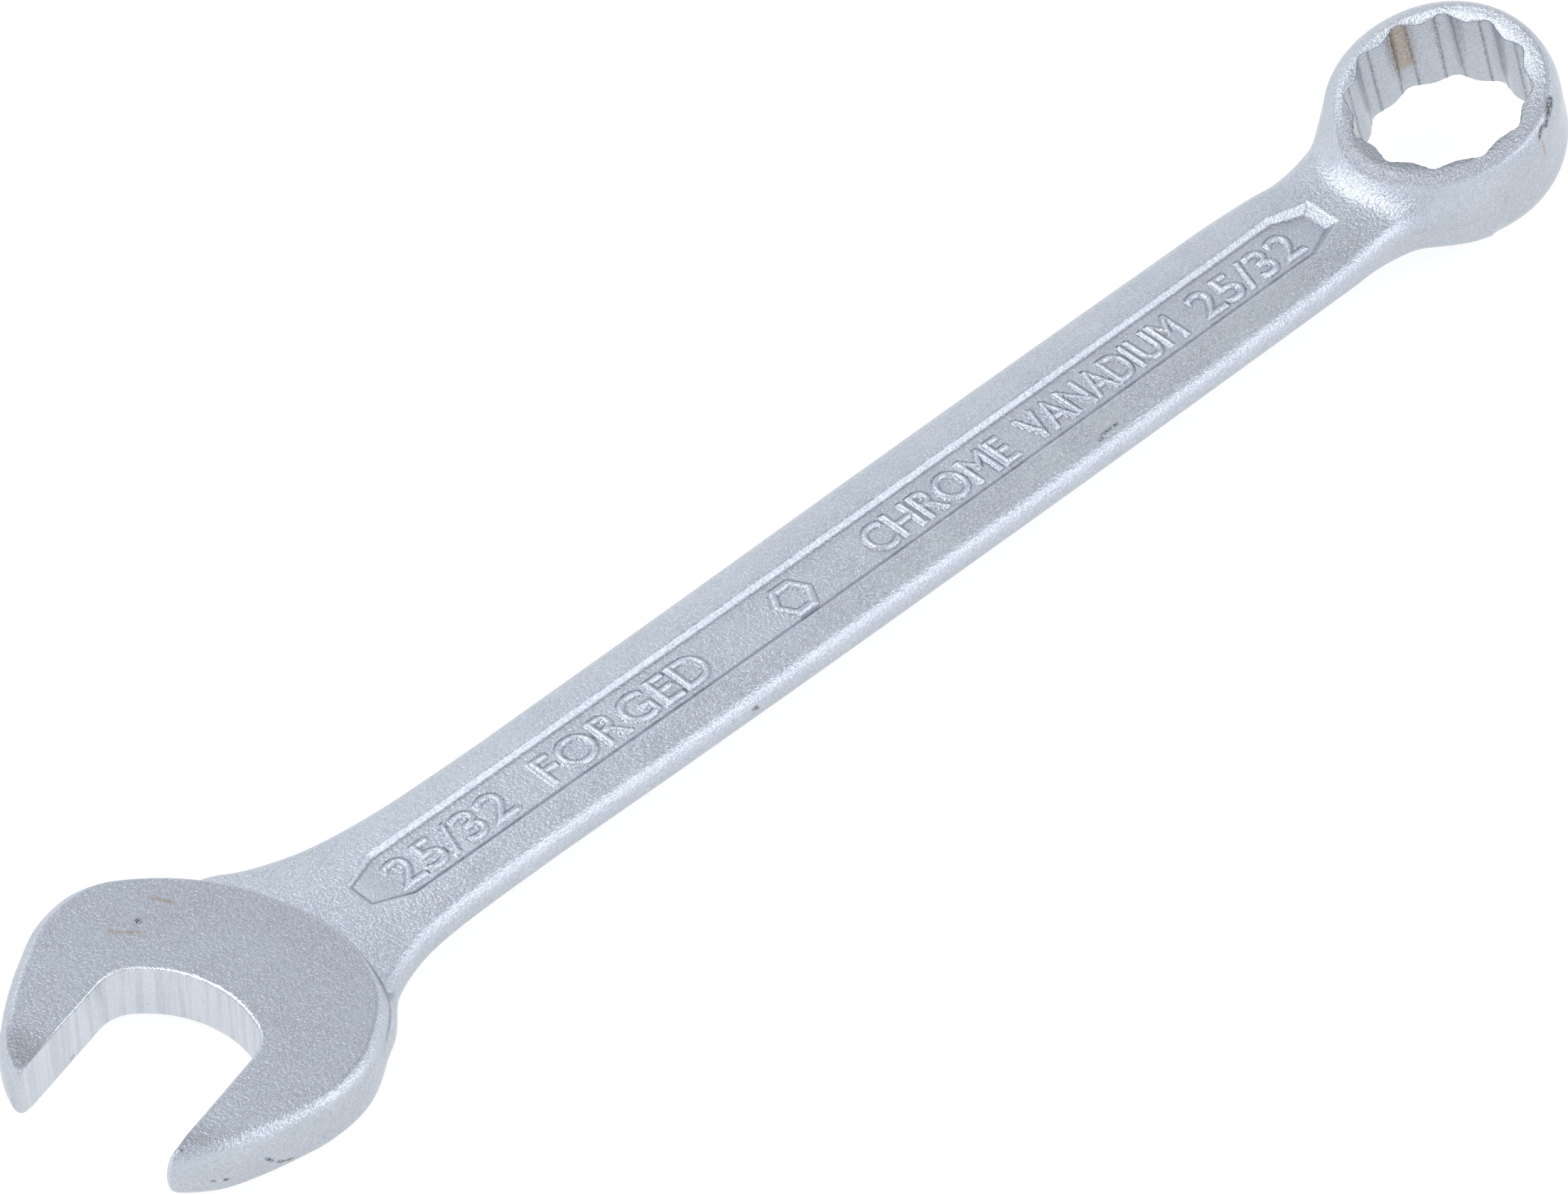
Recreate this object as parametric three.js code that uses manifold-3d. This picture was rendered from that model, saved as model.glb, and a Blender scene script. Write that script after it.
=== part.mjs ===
// A combination wrench: an open end and a twelve-point ring end of the same size on one forged
// shank. Units are millimetres. While it is modelled, X runs along the shank from the open end to
// the ring end, Z is up, and the origin is the middle of the throat, on the mid-plane of the head.
// The last lines move the origin to the middle of the underside of the bounding box.

import * as THREE from 'three';
import { mergeVertices } from 'three/addons/utils/BufferGeometryUtils.js';
import Module from 'manifold-3d';

const wasm = await Module();
wasm.setup();

// --- driving dimensions ------------------------------------------------------------------------
const acrossFlats = 20;          // both openings, for a 25/32 in (19.84 mm) nut with clearance
const clear = 2;                 // how far a cutting solid runs past the surface that it cuts

const head = {
  thickness: 7.25,
  centre: -1.5,                  // along the jaw axis from the throat
  // Degrees from the shank side, then the radius of the left and of the right jaw.
  radii: [
    [0, 17.2, 17.2], [20, 17.6, 17.6], [30, 17.9, 17.9], [45, 18.85, 18.8], [60, 20.2, 19.9],
    [75, 21.05, 20.45], [90, 21, 21.15], [105, 20.4, 21.25], [120, 20.6, 21.35],
    [130, 21.15, 21.85], [140, 22, 22.6], [150, 22.4, 23.1], [160, 22.6, 23.3], [180, 22.6, 23.3],
  ],
  // From the flat face to the parting line: depth below the face and distance inside the radius.
  wall: [[0, 1.1], [0.35, 0.5], [0.7, 0.02], [1.2, -0.24], [2.2, -0.38], [3.625, -0.45]],
  sides: 72,
};

const jaw = {
  angle: THREE.MathUtils.degToRad(14.5),   // between the jaw axis and the shank
  offset: 1.6,                             // of the throat's middle from the shank's centre line
  throatRadius: 14,
  cornerRadius: 4.5,
  length: 30,
};

// Along the shank, from inside the head to inside the ring: place, half-width, half-thickness,
// height of the ridge between shoulder and side, and how far the section has moved to the left
// and up.
const shankStations = [
  [5, 16.2, 2.95, 2.1, 0.1, 0.15], [9, 15.5, 2.9, 2.05, 0.15, 0.15],
  [12, 14.5, 2.85, 2.0, 0.2, 0.15], [14, 13.1, 2.8, 2.0, 0.3, 0.15],
  [16, 11.95, 2.75, 1.95, 0.48, 0.15], [18, 11.13, 2.7, 1.9, 0.55, 0.15],
  [20, 10.48, 2.65, 1.85, 0.55, 0.15], [22, 9.95, 2.6, 1.85, 0.55, 0.15],
  [25, 9.5, 2.6, 1.8, 0.5, 0.15], [28, 9.2, 2.6, 1.8, 0.42, 0.15],
  [32, 9, 2.6, 1.75, 0.32, 0.15], [40, 8.88, 2.6, 1.7, 0.25, 0.15],
  [60, 9.02, 2.6, 1.68, 0.2, 0.15], [80, 9.18, 2.6, 1.68, 0.2, 0.22],
  [100, 9.35, 2.6, 1.66, 0.25, 0.36], [134, 9.56, 2.6, 1.53, 0.38, 0.5],
  [155, 9.48, 2.6, 1.6, 0.45, 0.6], [168, 9.3, 2.65, 1.75, 0.45, 0.66],
  [173, 8.95, 2.8, 2.0, 0.3, 0.71], [176, 8.6, 2.95, 2.2, 0.15, 0.76],
  [180, 8.7, 3.4, 2.6, 0.08, 0.9], [184, 9.5, 3.9, 2.9, 0, 1.2],
  [187, 10.6, 4.2, 3.05, 0, 1.5], [190, 11.7, 4.4, 3.2, 0, 1.8],
];
const shank = {
  rimHalfWidth: 4.35,            // where the flat middle turns into the sloping shoulder
  sideRadius: 1.1,
  start: 17.5,                   // where the head ends and the shank begins
  end: 177.5,                    // where the shank ends and the ring end begins
};

const panel = {                  // the long recess on each face of the shank
  floor: 1.95,                   // height of its floor above the middle of the section
  // Place along the shank, half-width of the floor, and the floor's sideways and upward move.
  stations: [
    [21, 1.7, 0.05, 0.15], [25.6, 3.4, 0.05, 0.15], [60, 3.4, 0, 0.15], [80, 3.4, -0.1, 0.22],
    [100, 3.4, -0.14, 0.36], [134, 3.4, 0, 0.5], [155, 3.4, 0.1, 0.6], [170.3, 3.4, 0.2, 0.67],
    [174.6, 1.7, 0.2, 0.72],
  ],
  wallRise: 0.65,
  wallRun: 0.75,
};

const ring = {
  x: 195.46,                     // centre of the upper mouth of the hole
  z: 10.6,
  tilt: THREE.MathUtils.degToRad(17.5),
  height: 12.7,
  // From either face to the widest part of the wall: radius and depth below the face.
  profile: [[12.7, 0], [13.55, 0.35], [13.85, 0.85], [14.1, 1.9], [14.3, 3.6]],
  hole: {
    clock: THREE.MathUtils.degToRad(8.5),  // angle of one point from the shank's centre line
    tipRadius: 11.3,
    tipHalfWidth: 0.45,
    mouthRadius: 11.45,
    sinkRadius: 10.3,
    sinkDepth: 0.35,
  },
};

const chrome = { color: 0xb9bec6, metalness: 1.0, roughness: 0.38 };

// --- solids from three.js geometry ---------------------------------------------------------------
function toSolid(geometry) {
  const bare = geometry.clone();
  bare.deleteAttribute('normal');
  bare.deleteAttribute('uv');
  const merged = mergeVertices(bare, 1e-4);
  const index = merged.index.array;
  const triangles = [];
  for (let i = 0; i < index.length; i += 3) {
    const [a, b, c] = [index[i], index[i + 1], index[i + 2]];
    if (a !== b && b !== c && c !== a) triangles.push(a, b, c);
  }
  return new wasm.Manifold(new wasm.Mesh({
    numProp: 3,
    vertProperties: new Float32Array(merged.attributes.position.array),
    triVerts: new Uint32Array(triangles),
  }));
}

function toMesh(name, solid) {
  const data = solid.getMesh();
  const geometry = new THREE.BufferGeometry();
  geometry.setAttribute('position', new THREE.BufferAttribute(data.vertProperties, 3));
  geometry.setIndex(new THREE.BufferAttribute(data.triVerts, 1));
  geometry.computeVertexNormals();
  const mesh = new THREE.Mesh(geometry, new THREE.MeshStandardMaterial(chrome));
  mesh.name = name;
  return mesh;
}

// A slab across the whole wrench between two places on the shank's axis.
function slab(from, to) {
  const box = new THREE.BoxGeometry(to - from, 100, 100);
  return toSolid(box.translate((from + to) / 2, 0, 0));
}

// A closed solid of stacked outlines. place(step, turn, spread) gives a point: step counts the
// outlines from 0, turn goes once round from 0 to 1, and spread is 0 only in the middle of an end.
function stackedSolid(sides, steps, place) {
  const stack = new THREE.CylinderGeometry(1, 1, steps, sides, steps);
  const points = stack.attributes.position;
  for (let i = 0; i < points.count; i += 1) {
    const [x, y, z] = [points.getX(i), points.getY(i), points.getZ(i)];
    const turn = (Math.atan2(z, x) / (2 * Math.PI) + 1) % 1;
    points.setXYZ(i, ...place(Math.round(y + steps / 2), turn, Math.round(Math.hypot(x, z))));
  }
  return toSolid(stack);
}

// The value in a column of a table whose rows start with their place, on a straight line
// between rows.
function between(rows, at, column) {
  const next = Math.max(1, rows.findIndex((row) => row[0] >= at));
  const [before, after] = [rows[next - 1], rows[next]];
  return THREE.MathUtils.mapLinear(at, before[0], after[0], before[column], after[column]);
}

// --- the open end ----------------------------------------------------------------------------------
// Local x runs along the jaw axis from the mouth to the throat, local y towards the left jaw.
const jawPlace = new THREE.Matrix4()
  .makeTranslation(0, jaw.offset, 0)
  .multiply(new THREE.Matrix4().makeRotationZ(jaw.angle));

function headDisc() {
  const half = head.thickness / 2;
  const upper = head.wall.map(([depth, inset]) => [half - depth, inset]);
  const lower = upper.slice(0, -1).map(([z, inset]) => [-z, inset]);
  const levels = [...lower, ...upper.reverse()];
  const disc = stackedSolid(head.sides, levels.length - 1, (step, turn, spread) => {
    const [z, inset] = levels[step];
    const angle = turn * 2 * Math.PI;
    const degrees = turn < 0.5 ? turn * 360 : (1 - turn) * 360;
    const radius = spread * (between(head.radii, degrees, turn < 0.5 ? 2 : 1) - inset);
    return [head.centre + radius * Math.cos(angle), -radius * Math.sin(angle), z];
  });
  return disc.transform(jawPlace.elements);
}

// Two flats, two rounded corners and the shallow arc of the throat between them.
function mouth() {
  const half = acrossFlats / 2;
  const reach = jaw.throatRadius - jaw.cornerRadius;
  const cornerY = half - jaw.cornerRadius;
  const cornerX = Math.sqrt(reach ** 2 - cornerY ** 2) - jaw.throatRadius;
  const swing = Math.asin(cornerY / reach);
  const quarter = Math.PI / 2;
  const outline = new THREE.Shape();
  outline.moveTo(-jaw.length, -half);
  outline.lineTo(cornerX, -half);
  outline.absarc(cornerX, -cornerY, jaw.cornerRadius, -quarter, -swing, false);
  outline.absarc(-jaw.throatRadius, 0, jaw.throatRadius, -swing, swing, false);
  outline.absarc(cornerX, cornerY, jaw.cornerRadius, swing, quarter, false);
  outline.lineTo(-jaw.length, half);
  const depth = head.thickness + 2 * clear;
  const cut = new THREE.ExtrudeGeometry(outline, { depth, curveSegments: 8, bevelEnabled: false });
  return toSolid(cut.translate(0, 0, -depth / 2).applyMatrix4(jawPlace));
}

// --- the shank -------------------------------------------------------------------------------------
// One quarter of the section, from the side round to the edge of the flat middle.
function sectionQuarter(width, thickness, ridge) {
  const { rimHalfWidth, sideRadius } = shank;
  const tilt = Math.atan2(thickness - ridge, width - rimHalfWidth);
  const y = width - sideRadius;
  const z = ridge + sideRadius * (Math.tan(tilt) - 1 / Math.cos(tilt));
  const steepest = Math.PI / 2 - tilt;
  const arc = [0, 1, 2, 3].map((i) => [
    y + sideRadius * Math.cos((i / 3) * steepest),
    z + sideRadius * Math.sin((i / 3) * steepest),
  ]);
  return [...arc, [rimHalfWidth, thickness]];
}

function shankBar() {
  const sections = shankStations.map(([x, width, thickness, ridge, left, up]) => {
    const quarter = sectionQuarter(width, thickness, ridge);
    const mirrored = (a, b) => quarter.map(([y, z]) => [a * y, b * z]);
    const outline = [
      ...mirrored(1, 1), ...mirrored(-1, 1).reverse(),
      ...mirrored(-1, -1), ...mirrored(1, -1).reverse(),
    ];
    return { x, left, up, outline };
  });
  const sides = sections[0].outline.length;
  return stackedSolid(sides, sections.length - 1, (step, turn, spread) => {
    const { x, left, up, outline } = sections[step];
    const [y, z] = outline[Math.round(turn * sides) % sides];
    return [x, left - spread * y, up + spread * z];
  });
}

// A recess above the section's middle: a long hexagon with a flat floor and sloping walls. Its
// stations are the places of the floor's corners, and the walls run outwards from them. upwards is
// 1 for the upper face, and -1 for the cut that is then mirrored onto the lower one.
function panelCut(upwards) {
  const { floor, stations, wallRise, wallRun } = panel;
  const deep = wallRise + clear;
  const outwards = (wallRun / wallRise) * deep;
  const ends = [stations[0], stations[stations.length - 1]];
  return stackedSolid(4, stations.length - 1, (step, turn, spread) => {
    const [x, halfWidth, left, up] = stations[step];
    const corner = Math.round(turn * 4) % 4;
    const above = corner === 1 || corner === 2;
    const side = corner < 2 ? -1 : 1;
    const run = above ? outwards : 0;
    const isEnd = ends.includes(stations[step]);
    const past = isEnd ? Math.sign(step - 0.5) * run : 0;
    const sideways = halfWidth + (isEnd ? 0.7 : 1) * run;
    const middle = floor + upwards * up + deep / 2;
    return [
      x + spread * past,
      left + spread * side * sideways,
      middle + (spread * (above ? deep : -deep)) / 2,
    ];
  });
}

// --- the ring end ------------------------------------------------------------------------------------
// Local z is the ring's axis, and local z = 0 is the plane of the hole's upper mouth.
const ringPlace = new THREE.Matrix4()
  .makeTranslation(ring.x, 0, ring.z)
  .multiply(new THREE.Matrix4().makeRotationY(-ring.tilt));

function ringBarrel() {
  const upperHalf = ring.profile;
  const lowerHalf = upperHalf.map(([r, down]) => [r, ring.height - down]).reverse();
  const profile = [[0, 0], ...upperHalf, ...lowerHalf, [0, ring.height]];
  const points = profile.map(([r, down]) => new THREE.Vector2(r, -down)).reverse();
  const barrel = new THREE.LatheGeometry(points, 60);
  return toSolid(barrel.rotateX(Math.PI / 2).applyMatrix4(ringPlace));
}

// Two hexagons turned 30 degrees to each other, with narrow flats in place of their sharp points.
function twelvePointHole() {
  const { clock, tipRadius, tipHalfWidth } = ring.hole;
  const innerRadius = acrossFlats / 2 / Math.cos(Math.PI / 12);
  const outline = [];
  const at = (radius, angle) => outline.push(
    new THREE.Vector2(radius * Math.cos(angle), radius * Math.sin(angle)),
  );
  const tipSwing = Math.atan(tipHalfWidth / tipRadius);
  for (let point = 0; point < 12; point += 1) {
    const angle = clock + point * Math.PI / 6;
    at(tipRadius, angle - tipSwing);
    at(tipRadius, angle + tipSwing);
    at(innerRadius, angle + Math.PI / 12);
  }
  const depth = ring.height + 2 * clear;
  const cut = new THREE.ExtrudeGeometry(new THREE.Shape(outline), { depth, bevelEnabled: false });
  return toSolid(cut.translate(0, 0, -ring.height - clear).applyMatrix4(ringPlace));
}

// The shallow cone that leads a nut into the hole, at the upper or the lower mouth.
function countersink(lower) {
  const { mouthRadius, sinkRadius, sinkDepth } = ring.hole;
  const slope = (mouthRadius - sinkRadius) / sinkDepth;
  const proud = 0.3;
  const tall = sinkDepth + proud;
  const cone = new THREE.CylinderGeometry(mouthRadius + slope * proud, sinkRadius, tall, 60);
  cone.rotateX(Math.PI / 2).translate(0, 0, tall / 2 - sinkDepth);
  if (lower) cone.rotateX(Math.PI).translate(0, 0, -ring.height);
  return toSolid(cone.applyMatrix4(ringPlace));
}

// --- assembly ------------------------------------------------------------------------------------------
const bar = shankBar();
const upperPanel = panelCut(1);
const lowerPanel = panelCut(-1).mirror([0, 0, 1]);

const openEnd = headDisc()
  .add(bar.intersect(slab(-50, shank.start)))
  .subtract(mouth());

const shankPiece = bar
  .intersect(slab(shank.start, shank.end))
  .subtract(upperPanel)
  .subtract(lowerPanel);

const ringEnd = ringBarrel()
  .add(bar.intersect(slab(shank.end, 250)))
  .subtract(twelvePointHole())
  .subtract(countersink(false))
  .subtract(countersink(true));

const wrench = new THREE.Group();
wrench.name = 'combination_wrench';
wrench.add(toMesh('open_end_head', openEnd));
wrench.add(toMesh('shank', shankPiece));
wrench.add(toMesh('ring_end', ringEnd));

const box = new THREE.Box3().setFromObject(wrench);
const middle = box.getCenter(new THREE.Vector3());
wrench.position.set(-middle.x, -middle.y, -box.min.z);

export default wrench;
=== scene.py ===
"""Combination wrench for a 25/32 in nut: one satin-chromed forging on a pale studio floor.

The forging is described as a distance field: a function that is negative inside the steel, zero on
its surface and positive outside, in millimetres. Its open end, its shank and its ring end are
meshed from that field one by one, and each takes the place of the CAD node of the same zone.
"""

import math

import bmesh
import bpy
import numpy as np
from mathutils import Matrix, Vector


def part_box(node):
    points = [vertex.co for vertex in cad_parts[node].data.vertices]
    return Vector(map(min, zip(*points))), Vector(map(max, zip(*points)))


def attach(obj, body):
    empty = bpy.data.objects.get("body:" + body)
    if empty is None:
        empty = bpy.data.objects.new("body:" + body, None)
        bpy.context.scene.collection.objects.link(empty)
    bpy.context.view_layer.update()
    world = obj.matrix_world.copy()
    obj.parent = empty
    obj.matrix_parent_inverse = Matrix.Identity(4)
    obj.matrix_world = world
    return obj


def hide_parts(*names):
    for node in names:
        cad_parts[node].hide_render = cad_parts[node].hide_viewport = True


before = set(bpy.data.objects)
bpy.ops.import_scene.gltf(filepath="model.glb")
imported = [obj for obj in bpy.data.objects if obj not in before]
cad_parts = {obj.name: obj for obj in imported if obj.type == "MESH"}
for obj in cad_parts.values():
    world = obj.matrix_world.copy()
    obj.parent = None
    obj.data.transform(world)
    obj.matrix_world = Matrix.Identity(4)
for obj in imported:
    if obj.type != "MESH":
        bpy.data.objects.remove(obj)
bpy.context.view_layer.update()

MM = 0.001

# --- the design frame -------------------------------------------------------------------------
# X runs along the shank from the middle of the throat, Y to the left, Z up from the mid-plane.
# The CAD nodes fix where that origin lies in the frame: the shank starts a known way along X, the
# ring is centred on Y, and the head is centred on the mid-plane.
SHANK_START, SHANK_END = 17.5, 177.5
head_low, head_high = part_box("open_end_head")
ring_low, ring_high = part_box("ring_end")
ORIGIN = Vector((
    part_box("shank")[0].x - SHANK_START * MM,
    (ring_low.y + ring_high.y) / 2,
    (head_low.z + head_high.z) / 2,
))

# --- driving dimensions, mm ---------------------------------------------------------------------
ACROSS_FLATS = 20.0

HEAD_HALF_THICKNESS = 3.625
HEAD_CENTRE = -1.5          # along the jaw axis from the throat
HEAD_RADII = (              # degrees from the shank side, radius of the left and of the right jaw
    (0, 17.2, 17.2), (20, 17.6, 17.6), (30, 17.9, 17.9), (45, 18.85, 18.8), (60, 20.2, 19.9),
    (75, 20.85, 20.4), (90, 20.75, 21.05), (105, 20.15, 21.1), (120, 20.35, 21.1), (130, 20.95, 21.55),
    (140, 21.85, 22.3), (150, 22.3, 22.8), (160, 22.6, 23.0), (180, 22.6, 23.0),
)
HEAD_BULGE = 0.45           # how far the walls swell towards the parting line
TIP_BULGE = 0.3             # more of it on the tip of the right jaw
TIP_BULGE_ANGLES = (138, 152)    # where it starts and is full, in degrees from the shank side
TIP_FLARE = 0.4             # and into the mouth
TIP_FLARE_REACH = (16, 21)  # where that starts and is full, ahead of the throat
HEAD_SHOULDER = (1.1, 0.68)      # width and drop of the slope from the flat face to the wall
SHOULDER_ANGLES = (32, 54)  # where it starts and is full, in degrees from the shank side
SHOULDER_CURVE = 1.3        # 1 is a straight slope, and 2 is a round one
HEAD_WALL_EDGE = 0.5        # radius along the outer wall and along the step to the shank
HEAD_EDGE = 0.35            # radius round the mouth
HEAD_EDGE_BLEND = 1.5       # width over which the one turns into the other
TIP_RADIUS = 0.9
TIP_EDGE = 0.7              # extra radius on the faces' edges at the ends of the jaws
TIP_EDGE_REACH = (18.5, 21.5)
STEP_CENTRE = (-12.9, -3.0)      # the ground face ends at an arc about this point
STEP_RADIUS = 28.0
STEP_FILLET = 0.35          # between the head and the shank
NECK_FILLET = 2.2           # more of it on the sides
NECK_LEVELS = (1.0, 2.3)    # how far above and below the mid-plane that starts to fade and ends

JAW_ANGLE = math.radians(14.5)
JAW_OFFSET = 1.6
THROAT_RADIUS = 14.0
THROAT_CORNER = 4.5

# Along the shank: place, half-width, half-thickness, height of the ridge between shoulder and
# side, and how far the section has moved to the left and up.
SHANK = (
    (5, 16.2, 2.95, 2.1, 0.1, 0.15), (9, 15.5, 2.9, 2.05, 0.15, 0.15),
    (12, 14.5, 2.85, 2.0, 0.2, 0.15), (14, 13.1, 2.8, 2.0, 0.3, 0.15),
    (16, 11.95, 2.75, 1.95, 0.48, 0.15), (18, 11.13, 2.7, 1.9, 0.55, 0.15),
    (20, 10.48, 2.65, 1.85, 0.55, 0.15), (22, 9.95, 2.6, 1.85, 0.55, 0.15),
    (25, 9.5, 2.6, 1.8, 0.5, 0.15), (28, 9.2, 2.6, 1.8, 0.42, 0.15),
    (32, 9, 2.6, 1.75, 0.32, 0.15), (40, 8.88, 2.6, 1.7, 0.25, 0.15),
    (60, 9.02, 2.6, 1.68, 0.2, 0.15), (80, 9.18, 2.6, 1.68, 0.2, 0.22),
    (100, 9.35, 2.6, 1.66, 0.25, 0.36), (134, 9.56, 2.6, 1.53, 0.38, 0.5),
    (155, 9.48, 2.6, 1.6, 0.45, 0.6), (168, 9.3, 2.65, 1.75, 0.45, 0.66),
    (173, 8.95, 2.8, 2.0, 0.3, 0.71), (176, 8.6, 2.95, 2.2, 0.15, 0.76),
    (180, 8.7, 3.4, 2.6, 0.08, 0.9), (184, 9.5, 3.9, 2.9, 0, 1.2),
    (187, 10.6, 4.2, 3.05, 0, 1.5), (190, 11.7, 4.4, 3.2, 0, 1.8),
)
RIM_HALF_WIDTH = 4.35       # where the flat middle turns into the sloping shoulder
RIM_RADIUS = 0.3
SIDE_RADIUS = 1.7

PANEL_FLOOR = 1.95          # above the middle of the section
PANEL_TIPS = (21.0, 174.6)
PANEL_CORNERS = (25.6, 170.3)
PANEL_TIP_HALF_WIDTH = 1.7
PANEL_HALF_WIDTH = 3.4
PANEL_WALL = (0.75, 0.65)   # run and rise of its sloping walls
PANEL_EDGE = 0.12
PANEL_FOOT = 0.1            # radius between its walls and its floor
PANEL_SHALLOW = 0.35        # how much the floor rises at the jaw end
PANEL_SHALLOW_RUN = 5.0
PANEL_SWAY = ((25, 0.05), (60, 0), (96, -0.15), (134, 0), (168, 0.2))

RING_TOP = (195.46, 0.0, 10.6)   # centre of the upper mouth of the hole
RING_TILT = math.radians(17.5)
RING_HALF_HEIGHT = 6.35
RING_RADIUS = 14.3
RING_CROWN = 0.07           # how fast the outer wall draws in towards each face
RING_WALL_STRAIGHT = 2.75
RING_EDGE = 0.75
RING_WORN = (math.radians(95), 1.6)   # where the upper rim is rounder, and how much
RING_FILLET = (4.2, 2.4)    # between the ring and the shank, and what it narrows to on the left
RING_FILLET_PLACES = (3, 8)      # across the shank, where it starts to narrow and ends
HOLE_CLOCK = math.radians(8.5)
HOLE_POINTS = 12
FLUTE_CENTRE = 9.87
FLUTE_RADIUS = 1.45
FLUTE_SHOULDER = 10.85      # radius at which the flats stop at each flute
FLUTE_FLANK = (10.75, 1.08)      # how far out the flanks of a flute lie, and how far to each side
FLUTE_EDGE = 0.05
LOBE_ROUND = 0.35
SINK_MOUTH = 11.45
SINK_RADIUS = 10.3
SINK_DEPTH = 0.35
HOLE_EDGE = 0.12

LETTER_HEIGHT = 4.4
LETTER_RAISE = 0.36
LETTER_RAMP = 0.52          # from the foot of a letter to its rounded top
LETTER_SWELL = 0.2          # how far forging fattens a letter's strokes
LETTER_BASE = -2.5
MARKS = (                   # text, where it starts and ends along the shank
    ("25/32", 25.2, 42.3),
    ("FORGED", 47.5, 72.5),
    ("CHROME", 98.5, 121.5),
    ("VANADIUM", 124.5, 150.0),
    ("25/32", 153.4, 170.4),
)
NUT_MARK = (86.5, -0.3, 2.5)     # a plain hexagon between the words: x, y, half across flats
NUT_MARK_STROKE = 0.75

# Wear: name of the look, radius, then points along the mark. Marks on the ring are given along
# its plane, across it and up its axis.
HEAD_MARKS = (
    ("rust", 0.1, (-2.4, 14.6, 3.6), (-1.6, 13.4, 3.6), (-0.2, 12.1, 3.6)),
    ("rust", 0.1, (3.9, 15.2, 3.6), (4.6, 14.2, 3.6), (5.1, 13.0, 3.6)),
    ("black", 0.2, (0.7, 13.6, 3.6), (0.8, 13.5, 3.6)),
    ("black", 0.11, (-10.2, -18.85, -0.1), (-9.6, -18.95, -0.8)),
    ("black", 0.09, (-8.9, -19.1, -1.4), (-8.3, -19.2, -1.8), (-7.1, -19.4, -2.0)),
    ("black", 0.09, (-16.0, -16.6, -0.8), (-15.7, -16.7, -0.9)),
    ("black", 0.09, (-14.8, -17.2, -1.1), (-14.4, -17.4, -1.1)),
    ("black", 0.08, (-18.0, -13.5, 3.4), (-17.6, -14.0, 3.4)),
    ("black", 0.08, (-13.9, 8.3, -2.9), (-13.4, 8.4, -2.8)),
)
SHANK_MARKS = (
    ("black", 0.12, (129.6, -7.2, 2.4), (131.4, -6.8, 2.5), (132.9, -6.8, 2.5)),
    ("black", 0.13, (72.0, -8.8, 0.9), (72.5, -8.8, 0.8)),
    ("black", 0.12, (46.2, -8.9, 0.4), (46.5, -8.9, 0.3)),
)
RING_MARKS = (
    ("black", 0.3, (6.9, -11.8, 5.9), (6.0, -12.3, 5.8), (5.2, -12.6, 5.6)),
    ("black", 0.2, (4.6, -12.9, 5.5), (4.2, -13.2, 5.2), (3.9, -13.3, 5.3)),
    ("black", 0.16, (3.3, -13.3, 5.6), (2.6, -13.5, 5.3), (2.2, -13.6, 4.9)),
    ("rust", 0.1, (2.4, -13.9, 4.2), (2.2, -14.1, 2.0)),
    ("rust", 0.8, (3.9, 9.9, 5.0), (4.0, 10.3, -0.8)),
)

MARK_FADE = 0.6             # how fast a mark fades past its radius

# Worn patches: where each starts and is full, and how strong it is. The ring's patch is placed from
# -1, the left of its far end, to 1, the right of its shank side.
LEFT_TIP_WORN, LEFT_TIP_SHARE = (13, 18), 1.0        # ahead of the throat
RIGHT_TIP_WORN, RIGHT_TIP_SHARE = (15, 20), 0.85
TIP_WORN_HEIGHTS = (3.3, 3.55)                       # above the mid-plane
RING_PATCH_PLACE, RING_PATCH_SHARE = (-0.3, 0.5), 0.6
RING_PATCH_HEIGHTS = (-0.4, -0.1)                    # from the ring's upper face
GROUND_HEIGHTS = (-0.12, -0.02)                      # from the head's faces
CUT_DEPTH = 0.2             # how far the look of the mouth's walls reaches round their edges
FLANK_WIDTH, FLANK_SHARE = 0.18, 0.8                 # dark lines down the flanks of the flutes

# Spacing of the grids that the zones are meshed on.
HEAD_GAP = 0.22
SHANK_GAP, SHANK_SIDE_GAP, SHANK_PANEL_GAP, SHANK_UP_GAP = 0.3, 0.42, 0.22, 0.26
RING_GAP, RING_UP_GAP = 0.2, 0.22
MARK_GAP = 0.08

# --- fields: distances from simple shapes, and how they join --------------------------------------


def round_max(a, b, radius):
    """Where both shapes overlap, with the edge between them rounded."""
    over_a, over_b = np.maximum(a + radius, 0), np.maximum(b + radius, 0)
    return np.hypot(over_a, over_b) + np.minimum(np.maximum(a, b) + radius, 0) - radius


def round_min(a, b, radius):
    """Both shapes joined, with a fillet between them."""
    return -round_max(-a, -b, radius)


def ease(t):
    """0 before 0, 1 after 1, and smooth between."""
    t = np.clip(t, 0, 1)
    return t * t * (3 - 2 * t)


def between(value, limits):
    """0 before the first limit, 1 after the second, and smooth between."""
    start, end = limits
    return ease((value - start) / (end - start))


def along(stations, x, column=1):
    """A smooth curve through stations of place and values, level beyond its ends."""
    table = np.array(stations, float)
    place, value = table[:, 0], table[:, column]
    slope = np.gradient(value, place)
    i = np.clip(np.searchsorted(place, x) - 1, 0, len(place) - 2)
    run = place[i + 1] - place[i]
    t = np.clip((x - place[i]) / run, 0, 1)
    rise = value[i] * (2 * t**3 - 3 * t**2 + 1) + value[i + 1] * (3 * t**2 - 2 * t**3)
    return rise + run * (slope[i] * (t**3 - 2 * t**2 + t) + slope[i + 1] * (t**3 - t**2))


# --- the open end -----------------------------------------------------------------------------------


def jaw_axes(x, y):
    """Position along the jaw axis, from the mouth to the throat, and across it."""
    c, s = math.cos(JAW_ANGLE), math.sin(JAW_ANGLE)
    y = y - JAW_OFFSET
    return c * x + s * y, c * y - s * x


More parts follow.
